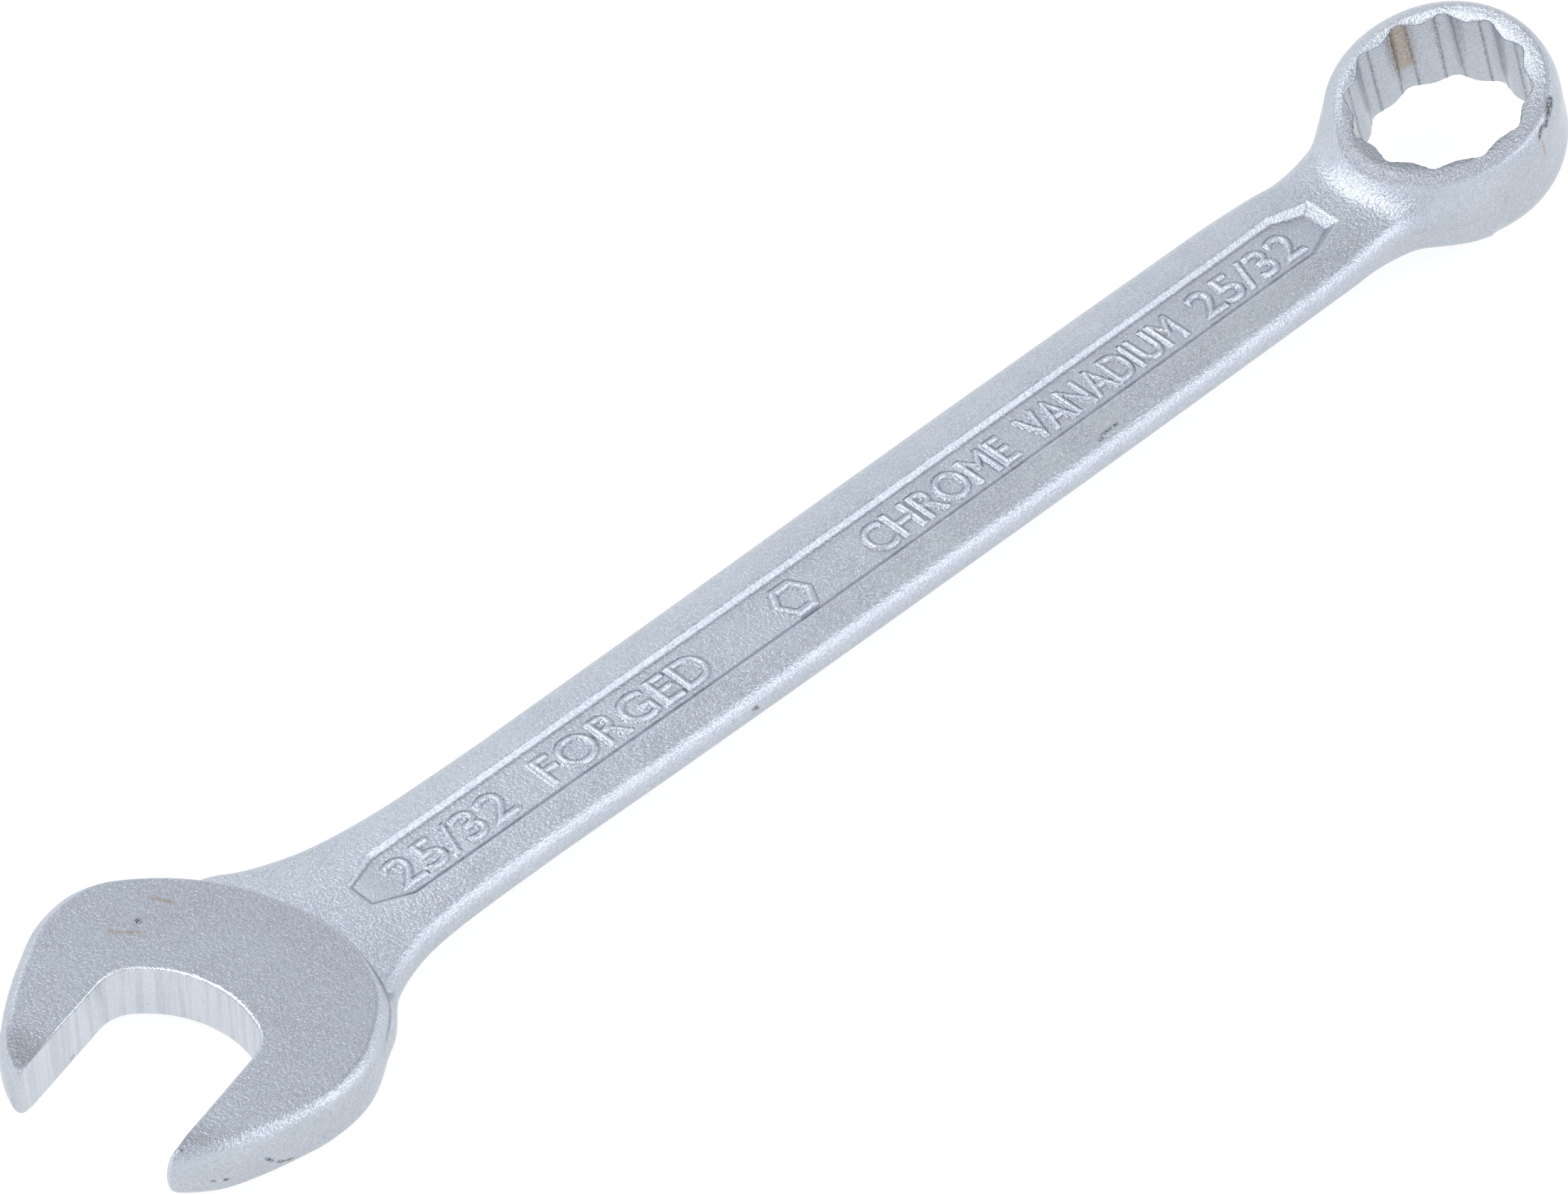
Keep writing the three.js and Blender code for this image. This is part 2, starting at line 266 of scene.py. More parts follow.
def head_outline(j, n, level):
    """The outline at a level from -1 to 1: it is fullest at the parting line, level 0."""
    j = j - HEAD_CENTRE
    angle = np.degrees(np.arctan2(np.abs(n), j))
    left, right = along(HEAD_RADII, angle, 1), along(HEAD_RADII, angle, 2)
    tip = TIP_BULGE * between(angle, TIP_BULGE_ANGLES)
    radius = np.where(n > 0, left, right) + np.where(n > 0, 0, tip * (1 - level**2))
    return np.hypot(j, n) - radius - HEAD_BULGE * (1 - level**2)


def mouth_outline(j, n):
    """The gap between the jaws: two flats, two corners and the shallow arc of the throat."""
    j, n = j + THROAT_RADIUS, np.abs(n)
    reach, high = THROAT_RADIUS - THROAT_CORNER, ACROSS_FLATS / 2 - THROAT_CORNER
    corner = math.sqrt(reach**2 - high**2)
    past_corner = np.hypot(j - corner, n - high)
    inner = np.where(j < corner, n - high, past_corner)
    inner = np.where(n * corner < j * high, np.hypot(j, n) - reach, inner)
    return inner - THROAT_CORNER


def head_field(x, y, z):
    """The head: a plan outline with sloping shoulders, cut by the mouth and the step's arc."""
    j, n = jaw_axes(x, y)
    level = np.clip(z / HEAD_HALF_THICKNESS, -1, 1)
    egg = head_outline(j, n, level)
    flare = TIP_FLARE * (1 - level**2) * between(-j, TIP_FLARE_REACH) * (n < 0)
    jaw_wall = -mouth_outline(j, n) - flare
    step = np.hypot(x - STEP_CENTRE[0], y - STEP_CENTRE[1]) - STEP_RADIUS
    plan = round_max(round_max(egg, step, TIP_RADIUS), jaw_wall, TIP_RADIUS)
    width, drop = HEAD_SHOULDER
    angle = np.degrees(np.arctan2(np.abs(n), j - HEAD_CENTRE))
    inset = np.clip(-egg / width, 0, 1)
    fall = drop * between(angle, SHOULDER_ANGLES)
    outwards = (1 - inset) ** (SHOULDER_CURVE - 1)
    slope = SHOULDER_CURVE * fall / width * outwards
    face = (np.abs(z) - HEAD_HALF_THICKNESS + fall * outwards * (1 - inset)) / np.hypot(1, slope)
    wall = ease(0.5 + (np.maximum(egg, step) - jaw_wall) / HEAD_EDGE_BLEND)
    edge = HEAD_EDGE + (HEAD_WALL_EDGE - HEAD_EDGE) * wall
    return round_max(plan, face, edge + TIP_EDGE * between(-j, TIP_EDGE_REACH))


# --- the shank --------------------------------------------------------------------------------------


def section(x, y, z):
    """Sideways and up from the middle of the shank's section."""
    return y - along(SHANK, x, 4), z - along(SHANK, x, 5)


def bar_field(x, y, z):
    """A bar with sloping shoulders and rounded sides."""
    width, thickness, ridge = (along(SHANK, x, column) for column in (1, 2, 3))
    y, z = (np.abs(value) for value in section(x, y, z))
    run, rise = width - RIM_HALF_WIDTH, thickness - ridge
    shoulder = ((z - thickness) * run + (y - RIM_HALF_WIDTH) * rise) / np.hypot(run, rise)
    top = round_max(shoulder, z - thickness, RIM_RADIUS)
    bar = round_max(top, y - width, SIDE_RADIUS)
    return np.maximum(bar, np.maximum(SHANK[0][0] - x, x - SHANK[-1][0]))


def panel_outline(x, y):
    """A long hexagon with blunt tips."""
    y = np.abs(y)
    outline = y - PANEL_HALF_WIDTH
    for tip, corner in zip(PANEL_TIPS, PANEL_CORNERS):
        outwards = math.copysign(1, tip - corner)
        run, rise = abs(tip - corner), PANEL_HALF_WIDTH - PANEL_TIP_HALF_WIDTH
        past_tip = outwards * (x - tip)
        diagonal = (past_tip * rise + (y - PANEL_TIP_HALF_WIDTH) * run) / math.hypot(run, rise)
        outline = np.maximum(outline, np.maximum(diagonal, past_tip))
    return outline


def panel_field(x, y, z, relief):
    """The recess in each face. It is negative in the air that the recess adds."""
    run, rise = PANEL_WALL
    y, z = y - along(PANEL_SWAY, x), section(x, y, z)[1]
    deeper = ease((x - PANEL_TIPS[0]) / PANEL_SHALLOW_RUN)
    floor = PANEL_FLOOR + PANEL_SHALLOW * (1 - deeper)
    height = np.abs(z) - floor
    wall = (panel_outline(x, y) * rise - height * run) / math.hypot(run, rise)
    raised = np.where(z > 0, relief(x, y), 0)
    return round_max(wall, raised - height, PANEL_FOOT)


# --- the ring end -----------------------------------------------------------------------------------


def ring_axes(x, y, z):
    """Along the ring's plane, across it, and up its axis from half its height."""
    c, s = math.cos(RING_TILT), math.sin(RING_TILT)
    x, z = x - RING_TOP[0], z - RING_TOP[2]
    return c * x + s * z, y - RING_TOP[1], c * z - s * x + RING_HALF_HEIGHT


def barrel_field(u, v, h):
    """The ring without its hole: a short drum whose wall draws in towards each face."""
    level = np.abs(h)
    crown = RING_CROWN * np.maximum(level - RING_WALL_STRAIGHT, 0) ** 2
    wall = np.hypot(u, v) - (RING_RADIUS - crown)
    direction, extra = RING_WORN
    worn = extra * np.maximum(np.cos(np.arctan2(v, u) - direction), 0) ** 2
    edge = RING_EDGE + np.where(h > 0, worn, 0)
    return round_max(wall, level - RING_HALF_HEIGHT, edge)


def hole_field(u, v, h):
    """A twelve-point hole with a round flute at each point and a countersink at each mouth."""
    radius, sector = np.hypot(u, v), 2 * math.pi / HOLE_POINTS
    angle = np.arctan2(v, u) - HOLE_CLOCK
    angle = np.abs((angle + sector / 2) % sector - sector / 2)
    out, side = radius * np.cos(angle), radius * np.sin(angle)
    flat = out * math.cos(sector) + side * math.sin(sector) - ACROSS_FLATS / 2
    next_flat = out - ACROSS_FLATS / 2
    lobes = np.maximum(round_min(flat, next_flat, LOBE_ROUND), radius - FLUTE_SHOULDER)
    flutes = np.hypot(out - FLUTE_CENTRE, side) - FLUTE_RADIUS
    run = SINK_MOUTH - SINK_RADIUS
    below = RING_HALF_HEIGHT - np.abs(h)
    sink = ((radius - SINK_MOUTH) * SINK_DEPTH + below * run) / math.hypot(run, SINK_DEPTH)
    return round_min(round_min(lobes, flutes, FLUTE_EDGE), sink, HOLE_EDGE)


# --- the whole forging --------------------------------------------------------------------------------


def forging_field(relief):
    """The distance field of the whole wrench, as a function of points in an (..., 3) array."""

    def field(points):
        x, y, z = np.moveaxis(points, -1, 0)
        bar = round_max(bar_field(x, y, z), -panel_field(x, y, z, relief), PANEL_EDGE)
        side = 1 - between(np.abs(z), NECK_LEVELS)
        body = round_min(head_field(x, y, z), bar, STEP_FILLET + NECK_FILLET * side)
        u, v, h = ring_axes(x, y, z)
        wide, narrow = RING_FILLET
        fillet = wide + (narrow - wide) * between(y, RING_FILLET_PLACES)
        body = round_min(body, barrel_field(u, v, h), fillet)
        return round_max(body, -hole_field(u, v, h), HOLE_EDGE)

    return field


# --- raised marks -------------------------------------------------------------------------------------


def text_outline(text):
    """The outline of a word in Blender's own font, as an (n, 2, 2) array of line segments."""
    curve = bpy.data.curves.new("mark", "FONT")
    curve.body = text
    curve.resolution_u = 6
    carrier = bpy.data.objects.new("mark", curve)
    mesh = bmesh.new()
    mesh.from_mesh(carrier.to_mesh())
    bmesh.ops.remove_doubles(mesh, verts=mesh.verts, dist=1e-5)
    segments = np.array([
        [vertex.co.xy for vertex in edge.verts] for edge in mesh.edges if len(edge.link_faces) == 1
    ])
    mesh.free()
    bpy.data.objects.remove(carrier)
    bpy.data.curves.remove(curve)
    return segments


def fitted(segments, start, end):
    """A word's outline scaled to its place on the panel."""
    points = segments.reshape(-1, 2)
    low, high = points.min(0), points.max(0)
    size = np.array([end - start, LETTER_HEIGHT])
    return (segments - low) / (high - low) * size + (start, LETTER_BASE)


def hexagon_outline(x, y, half):
    """A plain hexagon ring, as two closed outlines."""
    turns = np.arange(7) * math.pi / 3
    loops = []
    for flat in (half, half - NUT_MARK_STROKE):
        radius = flat / math.cos(math.pi / 6)
        loop = np.stack([x + radius * np.cos(turns), y + radius * np.sin(turns)], axis=1)
        loops.append(np.stack([loop[:-1], loop[1:]], axis=1))
    return np.concatenate(loops)


def signed_distance(points, segments):
    """Distance from closed outlines in the plane, negative inside them."""
    a, b = segments[:, 0], segments[:, 1]
    run = b - a
    length = np.maximum((run**2).sum(1), 1e-12)
    nearest = np.full(len(points), np.inf)
    crossings = np.zeros(len(points), int)
    for start, step, size in zip(a, run, length):
        offset = points - start
        share = np.clip(offset @ step / size, 0, 1)
        nearest = np.minimum(nearest, ((offset - share[:, None] * step) ** 2).sum(1))
        spans = (start[1] > points[:, 1]) != (start[1] + step[1] > points[:, 1])
        if step[1]:
            crossings += spans & (offset[:, 0] < offset[:, 1] * step[0] / step[1])
    return np.where(crossings % 2 == 1, -1, 1) * np.sqrt(nearest)


def raised_marks():
    """The height of the marks above the panel's floor, as a function of x and y."""
    xs = np.arange(PANEL_TIPS[0], PANEL_TIPS[1], MARK_GAP)
    ys = np.arange(-PANEL_HALF_WIDTH, PANEL_HALF_WIDTH, MARK_GAP)
    grid = np.stack(np.meshgrid(xs, ys, indexing="ij"), axis=-1)
    raised = np.zeros(grid.shape[:2])
    outlines = [fitted(text_outline(text), start, end) for text, start, end in MARKS]
    outlines.append(hexagon_outline(*NUT_MARK))
    for segments in outlines:
        low, high = segments[..., 0].min() - 1, segments[..., 0].max() + 1
        window = slice(*np.searchsorted(xs, (low, high)))
        points = grid[window].reshape(-1, 2)
        depth = LETTER_SWELL - signed_distance(points, segments)
        height = LETTER_RAISE * np.sin(np.clip(depth / LETTER_RAMP, 0, 1) * math.pi / 2)
        raised[window] = np.maximum(raised[window], height.reshape(raised[window].shape))

    def relief(x, y):
        column = np.clip((x - xs[0]) / MARK_GAP, 0, len(xs) - 1.001)
        row = np.clip((y - ys[0]) / MARK_GAP, 0, len(ys) - 1.001)
        i, j = column.astype(int), row.astype(int)
        s, t = column - i, row - j
        near = raised[i, j] * (1 - t) + raised[i, j + 1] * t
        far = raised[i + 1, j] * (1 - t) + raised[i + 1, j + 1] * t
        return near * (1 - s) + far * s

    return relief


# --- meshing ------------------------------------------------------------------------------------------


def surface_net(field, axes, place):
    """A quad mesh of the field's zero surface on a grid of lines, in the design frame.

    Each cell that the surface crosses holds one vertex, at the mean of its crossings, and each
    crossed grid edge gives one quad between its four cells. place turns grid points into the
    design frame.
    """
    grid = np.stack(np.meshgrid(*axes, indexing="ij"), axis=-1)
    values = field(place(grid))
    shape = values.shape
    corners, crossings = [], []
    for axis in range(3):
        step, u, v = (np.roll(np.eye(3, dtype=int)[0], axis + k) for k in range(3))
        lines = tuple(slice(0, size - (k == axis)) for k, size in enumerate(shape))
        shifted = tuple(slice(int(k == axis), None) for k in range(3))
        start = np.argwhere((values[lines] < 0) != (values[shifted] < 0))
        rim = (start * (u + v) == 0) & (u + v > 0)
        rim |= (start >= np.array(shape) - 1) & (u + v > 0)
        start = start[~rim.any(1)]
        a, b = values[tuple(start.T)], values[tuple((start + step).T)]
        share = (a / (a - b))[:, None]
        crossing = grid[tuple(start.T)] * (1 - share) + grid[tuple((start + step).T)] * share
        around = np.stack([start, start - u, start - u - v, start - v], axis=1)
        cells = np.ravel_multi_index(tuple(np.moveaxis(around, -1, 0)), shape)
        corners.append(np.where((a < 0)[:, None], cells, cells[:, ::-1]))
        crossings.append(crossing)
    corners, crossings = np.concatenate(corners), np.concatenate(crossings)
    used, index = np.unique(corners, return_inverse=True)
    index = index.reshape(-1)
    count = np.bincount(index)
    spread = np.repeat(crossings, 4, axis=0)
    vertices = np.stack([np.bincount(index, spread[:, k]) / count for k in range(3)], axis=1)
    return place(vertices), index.reshape(-1, 4)


def gradient(field, points, probe=0.02):
    """The field's slope at each point, by central differences."""
    steps = probe * np.eye(3)
    return np.stack([field(points + s) - field(points - s) for s in steps], axis=-1) / (2 * probe)


def settled(field, points, reach=0.12, rounds=4):
    """The points moved onto the field's zero surface, by short steps down its slope."""
    for _ in range(rounds):
        slope = gradient(field, points)
        push = field(points) / np.maximum((slope**2).sum(-1), 0.25)
        points = points - np.clip(push, -reach, reach)[:, None] * slope
    return points


def build_zone(name, field, marks, axes, place, cuts):
    """One closed piece of the forging, cut flat where it meets its neighbours.

    marks gives the looks of the surface by name, each as an amount at every vertex.
    """
    vertices, quads = surface_net(field, axes, place)
    vertices = settled(field, vertices)
    mesh = bpy.data.meshes.new(name)
    mesh.from_pydata(vertices.tolist(), [], quads.tolist())
    work = bmesh.new()
    work.from_mesh(mesh)
    for at, outwards in cuts:
        parts = work.verts[:] + work.edges[:] + work.faces[:]
        plane = {"plane_co": (at, 0, 0), "plane_no": (outwards, 0, 0)}
        cut = bmesh.ops.bisect_plane(work, geom=parts, clear_outer=True, **plane)
        rim = [part for part in cut["geom_cut"] if isinstance(part, bmesh.types.BMEdge)]
        bmesh.ops.contextual_create(work, geom=rim)
    bmesh.ops.recalc_face_normals(work, faces=work.faces)
    work.to_mesh(mesh)
    work.free()
    count = len(mesh.vertices)
    places = np.empty(count * 3, np.float32)
    mesh.vertices.foreach_get("co", places)
    places = places.reshape(-1, 3).astype(float)
    finish_normals(mesh, field, places)
    mark_hollows(mesh, field, places)
    for look, amount in marks(*places.T).items():
        mesh.attributes.new(look, "FLOAT", "POINT").data.foreach_set("value", amount)
    mesh.transform(Matrix.Translation(ORIGIN) @ Matrix.Scale(MM, 4))
    piece = bpy.data.objects.new(name, mesh)
    bpy.context.scene.collection.objects.link(piece)
    return piece


def finish_normals(mesh, field, places, most_sides=12):
    """Smooth shading with the field's own slope as the normal, and flat shading on the cuts.

    The cuts are the only faces with more than most_sides sides.
    """
    slope = gradient(field, places)
    slope /= np.linalg.norm(slope, axis=1, keepdims=True)
    mesh.shade_smooth()
    corner = np.empty(len(mesh.loops), int)
    mesh.loops.foreach_get("vertex_index", corner)
    normals = slope[corner]
    for face in mesh.polygons:
        if face.loop_total > most_sides:
            normals[face.loop_start:face.loop_start + face.loop_total] = face.normal
    mesh.normals_split_custom_set(normals)


def mark_hollows(mesh, field, places, probe=0.22):
    """Stores the bend of the surface at each vertex: above a half on edges, below in creases, where the
    material paints shade.
    """
    steps = probe * np.eye(3)
    bend = sum(field(places + s) + field(places - s) for s in steps) - 6 * field(places)
    shade = np.clip(0.5 + 0.5 * bend / probe, 0, 1)
    mesh.attributes.new("bend", "FLOAT", "POINT").data.foreach_set("value", shade)


def along_marks(marks, points):
    """How strongly each look of a list of wear marks shows at each point."""
    looks = {"rust": np.zeros(len(points)), "black": np.zeros(len(points))}
    for look, radius, *route in marks:
        for start, end in zip(np.array(route), np.array(route[1:])):
            run = end - start
            share = np.clip((points - start) @ run / (run @ run), 0, 1)
            distance = np.linalg.norm(points - start - share[:, None] * run, axis=1)
            amount = ease(1 + MARK_FADE * (1 - distance / radius))
            looks[look] = np.maximum(looks[look], amount)
    return looks


def head_looks(x, y, z):
    """Looks of the open end: the mouth's cut walls, the worn tips and the ground faces."""
    j, n = jaw_axes(x, y)
    looks = along_marks(HEAD_MARKS, np.stack([x, y, z], axis=1))
    looks["cut"] = np.exp(-(mouth_outline(j, n) / CUT_DEPTH) ** 2)
    left = LEFT_TIP_SHARE * between(-j, LEFT_TIP_WORN) * (n > 0)
    right = RIGHT_TIP_SHARE * between(-j, RIGHT_TIP_WORN) * (n < 0)
    looks["dull"] = np.maximum(left, right) * between(z, TIP_WORN_HEIGHTS)
    looks["ground"] = between(np.abs(z) - HEAD_HALF_THICKNESS, GROUND_HEIGHTS)
    return looks


def shank_looks(x, y, z):
    """Looks of the shank: a few nicks."""
    looks = along_marks(SHANK_MARKS, np.stack([x, y, z], axis=1))
    looks["cut"] = looks["dull"] = looks["ground"] = np.zeros(len(x))
    return looks


def ring_looks(x, y, z):
    """Looks of the ring end: chips, rust, dark flanks in the hole and the rim's worn half."""
    u, v, h = ring_axes(x, y, z)
    looks = along_marks(RING_MARKS, np.stack([u, v, h], axis=1))
    sector = 2 * math.pi / HOLE_POINTS
    angle = np.abs((np.arctan2(v, u) - HOLE_CLOCK + sector / 2) % sector - sector / 2)
    out, side = np.hypot(u, v) * np.cos(angle), np.hypot(u, v) * np.sin(angle)
    flank = np.hypot(out - FLUTE_FLANK[0], side - FLUTE_FLANK[1]) / FLANK_WIDTH
    looks["black"] = np.maximum(looks["black"], FLANK_SHARE * np.exp(-(flank**2)))
    looks["cut"] = looks["ground"] = np.zeros(len(x))
    place = -(u + v) / np.hypot(u, v) / math.sqrt(2)
    patch = between(place, RING_PATCH_PLACE) * between(h - RING_HALF_HEIGHT, RING_PATCH_HEIGHTS)
    looks["dull"] = RING_PATCH_SHARE * patch
    return looks


def spaced(*runs):
    """Grid lines over several stretches, each with its own spacing: (start, end, spacing)."""
    lines = [np.linspace(a, b, max(2, round((b - a) / gap) + 1))[:-1] for a, b, gap in runs]
    return np.append(np.concatenate(lines), runs[-1][1])


def turned(points, about, angle, origin):
    """Grid points turned about one axis (1 for Y, 2 for Z) and moved to the grid's origin."""
    turn = Matrix.Rotation(angle, 3, "XYZ"[about])
    return points @ np.array(turn).T + origin


def build_forging():
    """The three zones. Each grid reaches a little past the steel and past the zone's cuts."""
    field = forging_field(raised_marks())
    up = HEAD_HALF_THICKNESS + 0.5
    head_grid = (
        spaced((-25.5, 22.5, HEAD_GAP)),
        spaced((-22.5, 22.5, HEAD_GAP)),
        spaced((-up, up, HEAD_GAP)),
    )
    head = build_zone(
        "wrench_open_end", field, head_looks, head_grid,
        lambda points: turned(points, 2, JAW_ANGLE, (0, JAW_OFFSET, 0)),
        [(SHANK_START, 1)],
    )
    middle = PANEL_HALF_WIDTH + PANEL_WALL[0] + 0.3
    wide = 12.6
    shank_grid = (
        spaced((SHANK_START - 0.6, SHANK_END + 0.6, SHANK_GAP)),
        spaced(
            (-wide, -middle, SHANK_SIDE_GAP),
            (-middle, middle, SHANK_PANEL_GAP),
            (middle, wide, SHANK_SIDE_GAP),
        ),
        spaced((-4.5, 5.2, SHANK_UP_GAP)),
    )
    shank = build_zone(
        "wrench_shank", field, shank_looks, shank_grid, lambda points: points,
        [(SHANK_START, -1), (SHANK_END, 1)],
    )
    around, above = RING_RADIUS + 0.6, RING_HALF_HEIGHT + 0.6
    ring_middle = (
        RING_TOP[0] + math.sin(RING_TILT) * RING_HALF_HEIGHT,
        RING_TOP[1],
        RING_TOP[2] - math.cos(RING_TILT) * RING_HALF_HEIGHT,
    )
    ring_grid = (
        spaced((-around - 8, around, RING_GAP)),
        spaced((-around, around, RING_GAP)),
        spaced((-above - 2.5, above, RING_UP_GAP)),
    )
    ring = build_zone(
        "wrench_ring_end", field, ring_looks, ring_grid,
        lambda points: turned(points, 1, -RING_TILT, ring_middle),
        [(SHANK_END, -1)],
    )
    return head, shank, ring


# --- material -----------------------------------------------------------------------------------------

# A pair of colours is the range of a slow or a streaky noise.
BLASTED = ((0.48, 0.525, 0.59, 1), (0.52, 0.565, 0.63, 1))
CUT_WALL = ((0.54, 0.58, 0.635, 1), (0.63, 0.67, 0.735, 1))
GROUND = (0.435, 0.475, 0.535, 1)
SPECKLE = (0.25, 0.27, 0.31, 1)
# GLINT is a painted highlight: light specks that stand in for the grain's sparkle.
GLINT = (0.8, 0.84, 0.9, 1)
DULL = (0.27, 0.29, 0.33, 1)
# CREASE_SHADE is painted shade: the colour that creases are darkened towards.
CREASE_SHADE = (0.22, 0.24, 0.28, 1)
PIT = (0.2, 0.2, 0.22, 1)
RUST = (0.38, 0.29, 0.2, 1)
# CHIP_AND_FLANK_LINE is the colour of chips and nicks, and of the dark lines down the flanks of the
# flutes.
CHIP_AND_FLANK_LINE = (0.035, 0.035, 0.04, 1)
BUMP_DEPTH = 0.12 * MM


class Nodes:
    """A short way to write a node tree: each call adds one node and returns it or its output."""

    def __init__(self, tree):
        self.tree = tree
        tree.nodes.clear()

    def add(self, kind, settings=None, **inputs):
        node = self.tree.nodes.new(kind)
        for name, value in (settings or {}).items():
            setattr(node, name, value)
        for name, value in inputs.items():
            self.feed(node.inputs[name.replace("_", " ")], value)
        return node

    def feed(self, socket, value):
        if isinstance(value, bpy.types.NodeSocket):
            self.tree.links.new(value, socket)
        else:
            socket.default_value = value

    def math(self, operation, *values):
        node = self.add("ShaderNodeMath", {"operation": operation})
        for socket, value in zip(node.inputs, values):
            self.feed(socket, value)
        return node.outputs[0]

    def remap(self, value, low, high, to_low=0.0, to_high=1.0):
        node = self.add("ShaderNodeMapRange")
        for socket, number in zip(node.inputs, (value, low, high, to_low, to_high)):
            self.feed(socket, number)
        return node.outputs[0]

    def noise(self, where, scale, detail=2.0, roughness=0.5):
        node = self.add("ShaderNodeTexNoise", Vector=where, Scale=scale, Detail=detail,
                        Roughness=roughness)
        return node.outputs[0]

    def mix_colour(self, share, a, b):
        node = self.add("ShaderNodeMix", {"data_type": "RGBA"})
        self.feed(node.inputs[0], share)
        self.feed(node.inputs[6], a)
        self.feed(node.inputs[7], b)
        return node.outputs[2]


def satin_chrome():
    """Matte chrome over blasted steel: a sparkling grain with painted glints, small pits, faint clouds,
    painted shade in creases and wear.
    """
    material = bpy.data.materials.new("satin_chrome")
    material.use_nodes = True
    n = Nodes(material.node_tree)
    where = n.add("ShaderNodeTexCoord").outputs["Object"]
    bend, cut, dull, ground, black, rust = (
        n.add("ShaderNodeAttribute", {"attribute_name": name}).outputs["Fac"]
        for name in ("bend", "cut", "dull", "ground", "black", "rust")
    )
    fine = n.noise(where, 5600, 2, 0.6)
    coarse = n.noise(where, 2500, 2, 0.6)
    cloud = n.noise(where, 160, 4, 0.6)
    torn = n.noise(where, 3800, 3, 0.7)
    upright = n.add("ShaderNodeMapping", Vector=where, Scale=(1500, 1500, 60)).outputs[0]
    strokes = n.noise(upright, 1, 3, 0.6)
    crease = n.remap(bend, 0.42, 0.2)
    pits = n.math("MULTIPLY", n.remap(coarse, 0.66, 0.72), n.remap(cloud, 0.4, 0.6, 0.2, 0.8))
    blasted = n.mix_colour(n.remap(cloud, 0.35, 0.65), *BLASTED)
    plating = n.mix_colour(ground, blasted, GROUND)
    walls = n.mix_colour(n.remap(strokes, 0.38, 0.56), *CUT_WALL)
    plating = n.mix_colour(cut, plating, walls)
    speckle = n.math("MULTIPLY", n.remap(coarse, 0.56, 0.4), n.remap(cut, 0, 1, 0.2, 0.08))
    plating = n.mix_colour(speckle, plating, SPECKLE)
    # Painted highlight: light specks mixed into the colour where the fine noise is high.
    glint = n.math("MULTIPLY", n.remap(fine, 0.56, 0.66), 0.4)
    plating = n.mix_colour(glint, plating, GLINT)
    plating = n.mix_colour(n.math("MULTIPLY", dull, 0.95), plating, DULL)
    # Painted shade: the colour is darkened in creases, where the bend attribute is below 0.42.
    crease_shaded = n.mix_colour(n.math("MULTIPLY", crease, 0.6), plating, CREASE_SHADE)
    pitted = n.mix_colour(n.math("MULTIPLY", pits, 0.6), crease_shaded, PIT)
    rusty = n.math("MULTIPLY", rust, n.remap(torn, 0.4, 0.6, 0.4, 0.95))
    browned = n.mix_colour(rusty, pitted, RUST)
    # The black look: chips and nicks, and dark lines drawn down the flanks of the flutes in the hole.
    chips_and_flank_lines = n.math("MULTIPLY", black, n.remap(torn, 0.36, 0.56))
    colour = n.mix_colour(chips_and_flank_lines, browned, CHIP_AND_FLANK_LINE)
    streaks = n.math("MULTIPLY", strokes, cut)
    grain = n.math("ADD", n.math("MULTIPLY", fine, 0.4), coarse)
    smoother = n.math("ADD", n.math("MULTIPLY", cut, 0.6), n.math("MULTIPLY", ground, 0.55))
    strength = n.math("ADD", n.math("SUBTRACT", 1.0, smoother), dull)
    height = n.math("ADD", n.math("MULTIPLY", grain, strength), n.math("MULTIPLY", streaks, 0.8))
    bump = n.add("ShaderNodeBump", Strength=1.0, Distance=BUMP_DEPTH, Height=height)
    shader = n.add(
        "ShaderNodeBsdfPrincipled", Base_Color=colour, Roughness=n.remap(cloud, 0.3, 0.7, 0.24, 0.3),
        Metallic=n.math("SUBTRACT", 1.0, n.math("MULTIPLY", chips_and_flank_lines, 0.7)), Normal=bump.outputs[0],
    )
    out = n.add("ShaderNodeOutputMaterial")
    n.feed(out.inputs["Surface"], shader.outputs[0])
    return material


# --- studio -------------------------------------------------------------------------------------------

VIEW_AZIMUTH = math.radians(-45.018)
VIEW_ELEVATION = math.radians(44.678)
VIEW_DISTANCE = 0.8748
VIEW_TARGET = ORIGIN + Vector((88.933, 3.363, -1.902)) * MM
VIEW_LENS, SENSOR = 177.44, 36.0

# Soft boxes: place and size in metres, and watts.
KEY = ((0.32, -0.556, 0.766), (0.75, 0.7), 2.45)
OVERHEAD = ((-0.2, 0.36, 0.9), (0.8, 0.7), 3.9)

PAPER_SKY, CEILING_SKY = (1.15, 1.16, 1.18, 1), (0.5, 0.51, 0.52, 1)
SKY_HEIGHTS = (0.42, 0.9)   # where the one starts to turn into the other, and ends
FLOOR_TONES = ((0.14, 0.14, 0.142, 1), (0.16, 0.16, 0.162, 1))
FLOOR_GLOW = 0.88
FLOOR_HALF_SIZE = 3
FLOOR_GAP = 0.1 * MM        # between it and the lowest point of the ring


def add_camera():
    """Looks down at the wrench from the open end's side."""
    camera = bpy.data.objects.new("camera", bpy.data.cameras.new("camera"))
    camera.data.lens, camera.data.sensor_width = VIEW_LENS, SENSOR
    camera.data.clip_start, camera.data.clip_end = 0.05, 20
    level = math.cos(VIEW_ELEVATION)
    back = Vector((
        math.sin(VIEW_AZIMUTH) * level,
        -math.cos(VIEW_AZIMUTH) * level,
        math.sin(VIEW_ELEVATION),
    ))
    camera.location = VIEW_TARGET + back * VIEW_DISTANCE
    camera.rotation_mode = "QUATERNION"
    camera.rotation_quaternion = (-back).to_track_quat("-Z", "Y")
    bpy.context.scene.collection.objects.link(camera)
    bpy.context.scene.camera = camera


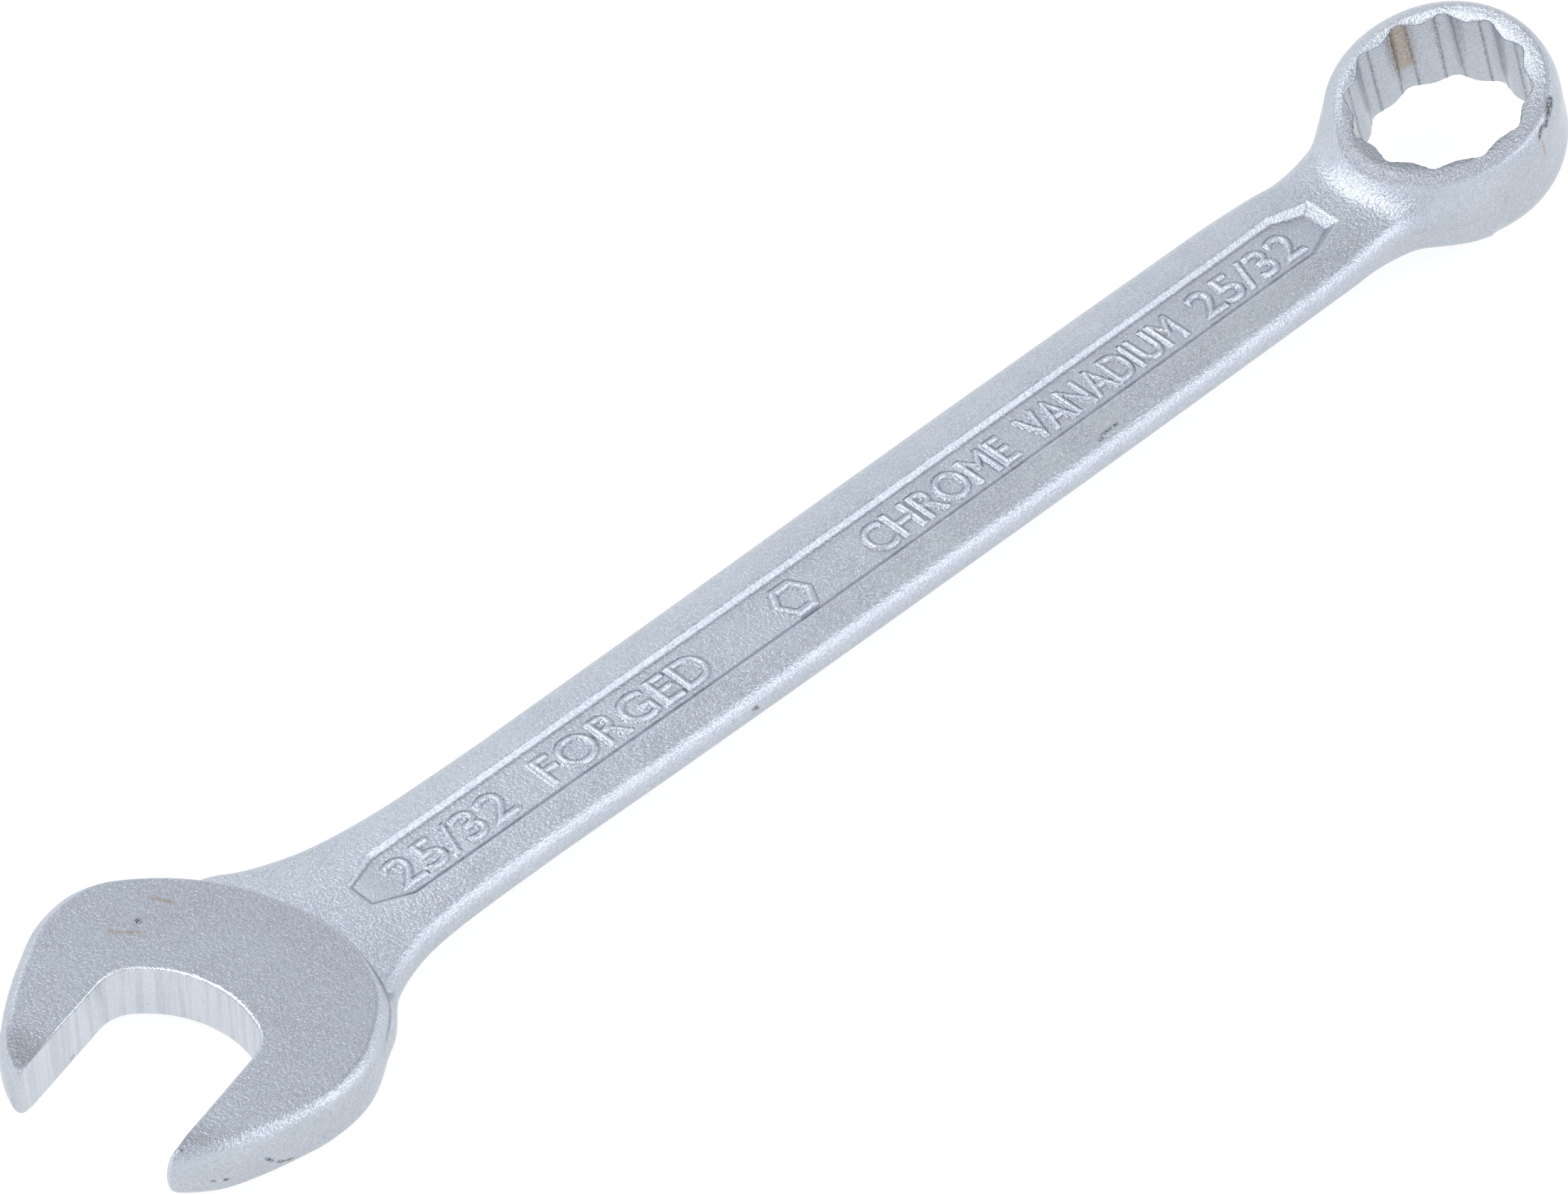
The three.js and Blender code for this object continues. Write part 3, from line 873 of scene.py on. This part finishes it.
def add_light(name, place, size, power):
    """A soft box facing the wrench."""
    lamp = bpy.data.lights.new(name, "AREA")
    lamp.shape = "RECTANGLE"
    lamp.size, lamp.size_y = size
    lamp.energy = power
    light = bpy.data.objects.new(name, lamp)
    light.location = place
    light.rotation_mode = "QUATERNION"
    light.rotation_quaternion = (-Vector(place)).to_track_quat("-Z", "Y")
    bpy.context.scene.collection.objects.link(light)


def add_floor():
    """A pale sheet, tipped so that both ends of the wrench rest on it."""
    slope = math.atan2(head_low.z - ring_low.z, ring_low.x - head_low.x)
    material = bpy.data.materials.new("studio_paper")
    material.use_nodes = True
    n = Nodes(material.node_tree)
    where = n.add("ShaderNodeTexCoord").outputs["Object"]
    tone = n.mix_colour(n.noise(where, 3, 2), *FLOOR_TONES)
    shader = n.add("ShaderNodeBsdfPrincipled", Base_Color=tone, Roughness=0.9)
    shader.inputs["Emission Color"].default_value = (1, 1, 1, 1)
    shader.inputs["Emission Strength"].default_value = FLOOR_GLOW
    out = n.add("ShaderNodeOutputMaterial")
    n.feed(out.inputs["Surface"], shader.outputs[0])
    sheet = bmesh.new()
    bmesh.ops.create_grid(sheet, x_segments=8, y_segments=8, size=FLOOR_HALF_SIZE)
    mesh = bpy.data.meshes.new("floor")
    sheet.to_mesh(mesh)
    sheet.free()
    mesh.transform(Matrix.Rotation(slope, 4, "Y"))
    mesh.transform(Matrix.Translation((ring_low.x, 0, ring_low.z - FLOOR_GAP)))
    mesh.materials.append(material)
    floor = bpy.data.objects.new("floor", mesh)
    bpy.context.scene.collection.objects.link(floor)


def add_world():
    """White paper all round, and a darker ceiling that the upper faces reflect."""
    world = bpy.data.worlds.new("studio")
    bpy.context.scene.world = world
    world.use_nodes = True
    n = Nodes(world.node_tree)
    direction = n.add("ShaderNodeTexCoord").outputs["Generated"]
    height = n.add("ShaderNodeSeparateXYZ", Vector=direction).outputs["Z"]
    tone = n.mix_colour(n.remap(height, *SKY_HEIGHTS), PAPER_SKY, CEILING_SKY)
    background = n.add("ShaderNodeBackground", Color=tone)
    out = n.add("ShaderNodeOutputWorld")
    n.feed(out.inputs["Surface"], background.outputs[0])


# --- scene --------------------------------------------------------------------------------------------

add_camera()
finish = satin_chrome()
zones = ("open_end_head", "shank", "ring_end")
for piece, node in zip(build_forging(), zones):
    piece.data.materials.append(finish)
    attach(piece, "root")
    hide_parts(node)

add_floor()
add_world()
add_light("key", *KEY)
add_light("overhead", *OVERHEAD)
bpy.context.scene.view_settings.view_transform = "Standard"

bpy.context.view_layer.update()
